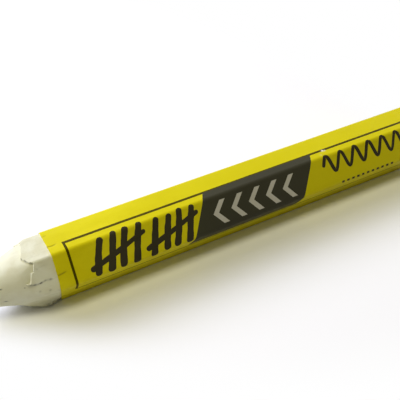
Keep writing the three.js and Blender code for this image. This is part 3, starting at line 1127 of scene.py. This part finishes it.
def skin_grime(points, flat, outer):
    """Where the skin's colour darkens: painted shade in the crack and under the top plate's torn edge, and
    darker specks and patches along the foot next to the paper.
    """
    x, v = flat[:, 0], flat[:, 1]
    behind = x - SHOULDER
    # Painted shade in the crack
    crack = bell(v - crack_level(x) - 0.04, 0.2) * crack_gaps(x)
    # Painted shadow under the top plate's torn edge
    flecks = skin_dots(x, v, EDGE_SHADOW_FLECKS)
    # The skin's specks darken its colour
    specks = skin_dots(x, v, [(*spot, dark_share) for *spot, _, dark_share in SKIN_PITS])
    past = v - SKIN_FOOT
    # Darker patches along the foot next to the paper
    patches = FOOT_DARK_MEAN + relief(skin_side.place(x, v, 0), FOOT_DARK_PATCHES)
    low_edge = smooth(*FOOT_DARK_LOW, past) * (1 - smooth(*FOOT_DARK_HIGH, past))
    low_edge = low_edge * smooth(*FOOT_DARK_BEHIND, behind) * np.clip(patches, 0.1, 1)
    dark_share = np.maximum.reduce([crack, flecks, specks, 0.9 * low_edge])
    grime = np.zeros(len(points))
    grime[outer:outer + len(flat)] = np.clip(dark_share, 0, 0.95)
    return grime


# The stage: a plain white floor, a large soft light behind the stick, a smaller one above it

PLAIN_WHITE = (1.0, 1.0, 1.0, 1.0)
FLOOR_BOUNCE = (0.8, 0.8, 0.8, 1.0)
FLOOR_SIZE, FLOOR_DROP = 12000.0, 0.02
# The floor turns plain white between two ellipses, past the foot of the shadow. They lie along the
# shadow's fall and reach a good deal further that way. Their centre and their half widths are in metres
WHITE_CENTRE = (-0.0534, 0.1216, 0.0)
WHITE_FROM, WHITE_TO = 0.0728, 0.0852
WHITE_REACH = 2.48
KEY_AZIMUTH = math.radians(-30)
# Each lamp: azimuth, elevation, width and height in millimetres, power in watts, and colour
LAMPS = {
    "key": (KEY_AZIMUTH, math.radians(37), 1600.0, 600.0, 22.8, (0.96, 0.98, 1.22)),
    "overhead": (math.radians(-103), math.radians(75), 483.0, 483.0, 7.2, (1.0, 0.95, 0.66)),
}
LAMP_DISTANCE = 1400.0
AMBIENT = 0.1
AMBIENT_COLOUR = (1.0, 0.95, 0.7, 1.0)


def direction(azimuth, elevation):
    """A direction, whose azimuth is 0 towards +Y and grows towards +X."""
    flat = math.cos(elevation)
    return Vector((math.sin(azimuth) * flat, math.cos(azimuth) * flat, math.sin(elevation)))


def aim(thing, place, back):
    """Puts a lamp or a camera in its place, where it looks away from a direction."""
    thing.location = place * MM
    thing.rotation_mode = "QUATERNION"
    thing.rotation_quaternion = back.to_track_quat("Z", "Y")


def add_lamp(name, azimuth, elevation, width, height, power, colour):
    data = bpy.data.lights.new(name, "AREA")
    data.color = colour
    data.shape = "RECTANGLE"
    data.size, data.size_y = width * MM, height * MM
    data.energy = power
    towards = direction(azimuth, elevation)
    aim(add_object(name, data), towards * LAMP_DISTANCE, towards)


def seen_directly(nodes):
    """1 for what the camera sees, also in a reflection or through something clear."""
    path = nodes.add("LightPath", {})
    total = path.outputs["Is Camera Ray"]
    for name in ("Is Glossy Ray", "Is Transmission Ray"):
        total = nodes.add("Math", {0: total, 1: path.outputs[name]}, operation="MAXIMUM")
    return total


def add_floor():
    """A plain white floor: it takes the stick's shadow, and turns plain white further away."""
    half = FLOOR_SIZE * MM / 2
    mesh = bpy.data.meshes.new("floor")
    corners = [(-half, -half, 0), (half, -half, 0), (half, half, 0), (-half, half, 0)]
    mesh.from_pydata(corners, [], [(0, 1, 2, 3)])
    floor = add_object("floor", mesh)
    floor.location.z = -FLOOR_DROP * MM
    material = bpy.data.materials.new("floor_white")
    nodes = Nodes(material)
    bounce = nodes.add("BsdfDiffuse", {"Color": FLOOR_BOUNCE})
    near = nodes.add("BsdfDiffuse", {"Color": PLAIN_WHITE})
    far = nodes.add("Emission", {"Color": PLAIN_WHITE, "Strength": 1.0})
    place = nodes.add("TexCoord", {}).outputs["Object"]
    ellipse = {"Location": WHITE_CENTRE, "Rotation": (0, 0, -math.pi / 2 - KEY_AZIMUTH),
               "Scale": (WHITE_REACH, 1, 1)}
    turned = nodes.add("Mapping", {"Vector": place, **ellipse}, vector_type="TEXTURE")
    length = nodes.add("VectorMath", {0: turned}, operation="LENGTH").outputs["Value"]
    ends = {"From Min": WHITE_FROM, "From Max": WHITE_TO}
    away = nodes.add("MapRange", {"Value": length, **ends}, interpolation_type="SMOOTHSTEP")
    seen = nodes.add("MixShader", {0: away, 1: near, 2: far})
    both = nodes.add("MixShader", {0: seen_directly(nodes), 1: bounce, 2: seen})
    nodes.add("OutputMaterial", {"Surface": both})
    mesh.materials.append(material)


def add_world():
    """A dim warm fill from all round, which the camera sees as plain white."""
    world = bpy.data.worlds.new("room")
    bpy.context.scene.world = world
    nodes = Nodes(world)
    fill = nodes.add("Background", {"Color": AMBIENT_COLOUR, "Strength": AMBIENT})
    white = nodes.add("Background", {"Color": PLAIN_WHITE, "Strength": 1.0})
    both = nodes.add("MixShader", {0: seen_directly(nodes), 1: fill, 2: white})
    nodes.add("OutputWorld", {"Surface": both})


def add_camera():
    data = bpy.data.cameras.new("camera")
    data.lens = CAMERA_LENS
    data.sensor_width = CAMERA_SENSOR
    data.clip_start = 0.001
    camera = add_object("camera", data)
    back = direction(math.pi - CAMERA_AZIMUTH, CAMERA_ELEVATION)
    aim(camera, Vector(CAMERA_TARGET) + back * CAMERA_DISTANCE, back)
    bpy.context.scene.camera = camera


add_camera()
build_core()
build_skin()
build_paper()
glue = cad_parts["seam_glue"]
glue.data.materials.clear()
glue.data.materials.append(glue_material())
add_floor()
add_world()
for name, settings in LAMPS.items():
    add_lamp(name, *settings)
bpy.context.scene.view_settings.view_transform = "Standard"
